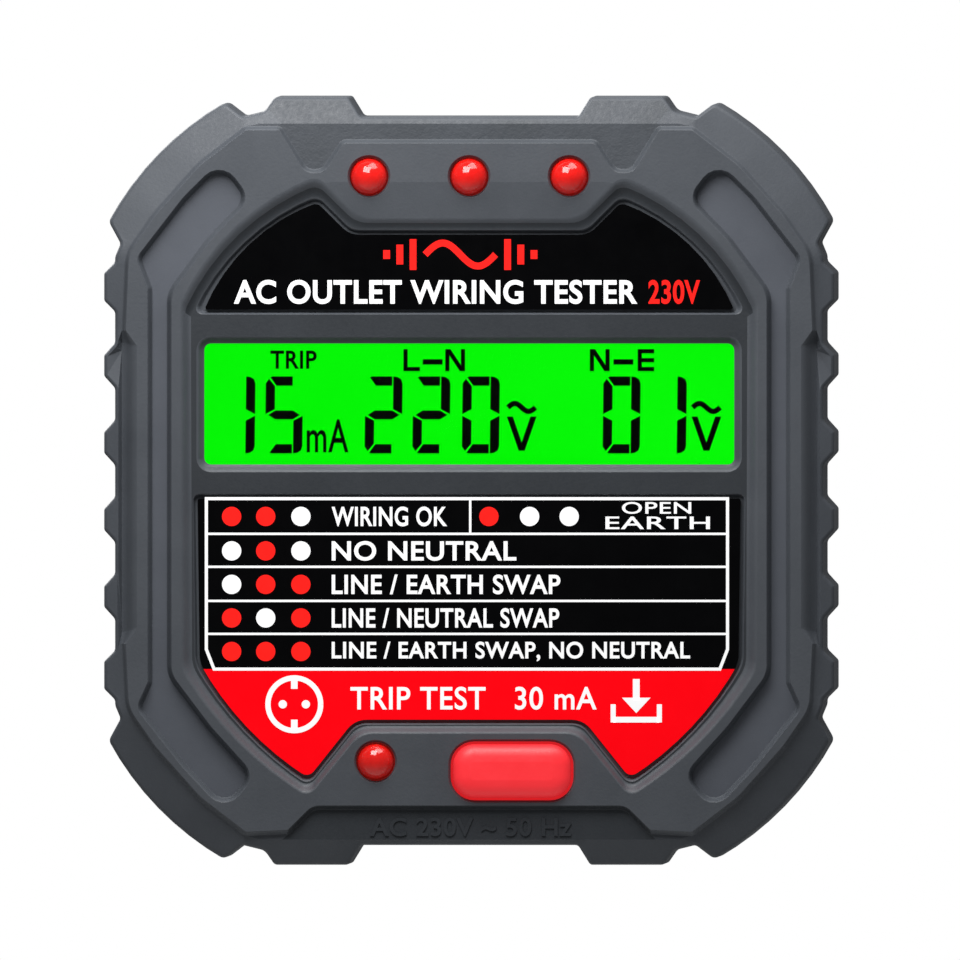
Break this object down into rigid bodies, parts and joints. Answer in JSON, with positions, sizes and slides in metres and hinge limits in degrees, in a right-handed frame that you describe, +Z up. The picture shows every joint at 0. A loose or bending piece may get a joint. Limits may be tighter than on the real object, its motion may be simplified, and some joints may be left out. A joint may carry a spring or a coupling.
{
  "type": "outlet tester",
  "caption": "Plug-in wall outlet tester: squarish moulded body with guarded corners and grip ridges, backlit display, fault table, indicator lamps, push button and round two-pin plug.",
  "frame": {"origin": "centre of the plug boss's end face, midway between the two pins where they leave it", "axes": "+Y along the pins into the wall, +Z up, +X to the right for someone facing the display"},
  "size_m": [0.0664, 0.0696, 0.0698],
  "materials": {
    "housing": "fine spark-eroded texture, dark slate grey",
    "plug_plastic": "moulded, satin, near black",
    "inner_plastic": "moulded, plain",
    "plug_metal": "nickel-plated brass, bright",
    "fasteners": "zinc-plated steel",
    "label": "glossy printed film, black with a red lower part",
    "clear_window": "clear polished window",
    "display_glass": "backlit bright green with dark segments",
    "light_guide": "translucent green",
    "contact_rubber": "layered elastomer",
    "lamp": "red tinted resin, glossy",
    "button": "red, soft satin",
    "switch_metal": "tinned steel",
    "circuit_board": "green solder mask on glass epoxy",
    "component_black": "black moulded epoxy",
    "film_case": "yellow box case",
    "capacitor_sleeve": "shrunk sleeve, dark blue",
    "blue_coating": "dipped epoxy coating, blue",
    "fuse_glass": "glass tube",
    "resistor_coating": "sand-coloured lacquer",
    "brown_wire": "brown insulation",
    "blue_wire": "blue insulation",
    "green_wire": "green insulation"
  },
  "bodies": {
    "tester": {"front_housing": "housing", "rear_housing": "housing", "plug_boss": "plug_plastic", "pin_carrier": "inner_plastic", "pin_live": "plug_metal", "pin_neutral": "plug_metal", "earth_clip_top": "plug_metal", "earth_clip_bottom": "plug_metal", "earth_bridge": "plug_metal", "housing_screw_1": "fasteners", "housing_screw_2": "fasteners", "housing_screw_3": "fasteners", "housing_screw_4": "fasteners", "carrier_screw_1": "fasteners", "carrier_screw_2": "fasteners", "board_screw_1": "fasteners", "board_screw_2": "fasteners", "board_screw_3": "fasteners", "board_screw_4": "fasteners", "upper_label": "label", "lower_label": "label", "display_window": "clear_window", "lcd_glass": "display_glass", "backlight": "light_guide", "display_holder": "inner_plastic", "contact_strip_top": "contact_rubber", "contact_strip_bottom": "contact_rubber", "led_left": "lamp", "led_centre": "lamp", "led_right": "lamp", "led_trip": "lamp", "led_spacer_left": "inner_plastic", "led_spacer_centre": "inner_plastic", "led_spacer_right": "inner_plastic", "led_spacer_trip": "inner_plastic", "switch_body": "switch_metal", "main_board": "circuit_board", "microcontroller": "component_black", "rectifier": "component_black", "trip_thyristor": "component_black", "crystal": "switch_metal", "film_capacitor": "film_case", "electrolytic_capacitor": "capacitor_sleeve", "varistor": "blue_coating", "fuse": "fuse_glass", "power_resistor_1": "resistor_coating", "power_resistor_2": "resistor_coating", "wire_live": "brown_wire", "wire_neutral": "blue_wire", "wire_earth": "green_wire"},
    "button": {"test_button": "button"},
    "plunger": {"switch_plunger": "inner_plastic"}
  },
  "joints": [
    {"name": "button_press", "type": "slide", "parent": "tester", "child": "button", "axis": [0, 1, 0], "range_m": [0, 0.0005], "stiffness_N_per_m": 2000},
    {"name": "plunger_travel", "type": "slide", "parent": "tester", "child": "plunger", "axis": [0, 1, 0], "range_m": [0, 0.0005]}
  ],
  "couplings": [
    {"joint": "plunger_travel", "follows": "button_press", "ratio": 1}
  ]
}
